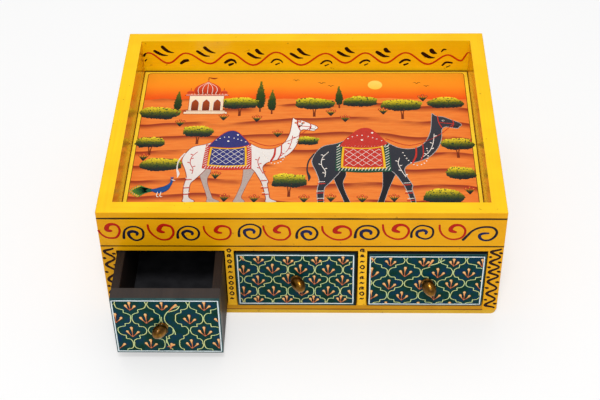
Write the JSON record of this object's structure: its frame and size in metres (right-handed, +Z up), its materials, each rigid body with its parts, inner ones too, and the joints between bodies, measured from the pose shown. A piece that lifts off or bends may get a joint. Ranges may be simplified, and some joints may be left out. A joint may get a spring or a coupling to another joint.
{
  "type": "watercolour paint drawer box",
  "caption": "Painted wooden box with small side-by-side knobbed drawers under a shallow top tray, for storing watercolour paints and brushes.",
  "frame": {"origin": "centre of the underside of the base board", "axes": "+X to the right as seen from the drawers' side, +Y from the drawer fronts to the back, +Z up"},
  "size_m": [0.305, 0.2897, 0.108],
  "materials": {
    "yellow_painted_wood": "hand-painted yellow and amber, glossy lacquer",
    "teal_painted_wood": "hand-painted dark teal with a pale lattice, glossy lacquer",
    "dark_painted_wood": "dark brown paint, satin",
    "aged_brass": "aged, brown in the hollows",
    "steel": "plain bright steel"
  },
  "bodies": {
    "carcass": {"base_board": "yellow_painted_wood", "bay_floor": "yellow_painted_wood", "left_side_panel": "yellow_painted_wood", "right_side_panel": "yellow_painted_wood", "back_panel": "yellow_painted_wood", "front_apron": "yellow_painted_wood", "tray_floor_panel": "yellow_painted_wood", "left_divider": "yellow_painted_wood", "right_divider": "yellow_painted_wood", "carcass_pins": "steel"},
    "left_drawer": {"left_drawer_front": "teal_painted_wood", "left_drawer_left_wall": "dark_painted_wood", "left_drawer_right_wall": "dark_painted_wood", "left_drawer_back": "dark_painted_wood", "left_drawer_floor": "dark_painted_wood", "left_drawer_knob": "aged_brass", "left_drawer_knob_screw": "steel", "left_drawer_knob_washer": "steel", "left_drawer_pins": "steel"},
    "middle_drawer": {"middle_drawer_front": "teal_painted_wood", "middle_drawer_left_wall": "dark_painted_wood", "middle_drawer_right_wall": "dark_painted_wood", "middle_drawer_back": "dark_painted_wood", "middle_drawer_floor": "dark_painted_wood", "middle_drawer_knob": "aged_brass", "middle_drawer_knob_screw": "steel", "middle_drawer_knob_washer": "steel", "middle_drawer_pins": "steel"},
    "right_drawer": {"right_drawer_front": "teal_painted_wood", "right_drawer_left_wall": "dark_painted_wood", "right_drawer_right_wall": "dark_painted_wood", "right_drawer_back": "dark_painted_wood", "right_drawer_floor": "dark_painted_wood", "right_drawer_knob": "aged_brass", "right_drawer_knob_screw": "steel", "right_drawer_knob_washer": "steel", "right_drawer_pins": "steel"}
  },
  "joints": [
    {"name": "left_drawer_slide", "type": "slide", "parent": "carcass", "child": "left_drawer", "axis": [0, -1, 0], "range_m": [-0.0495, 0.1005]},
    {"name": "middle_drawer_slide", "type": "slide", "parent": "carcass", "child": "middle_drawer", "axis": [0, -1, 0], "range_m": [0, 0.15]},
    {"name": "right_drawer_slide", "type": "slide", "parent": "carcass", "child": "right_drawer", "axis": [0, -1, 0], "range_m": [0, 0.15]}
  ]
}
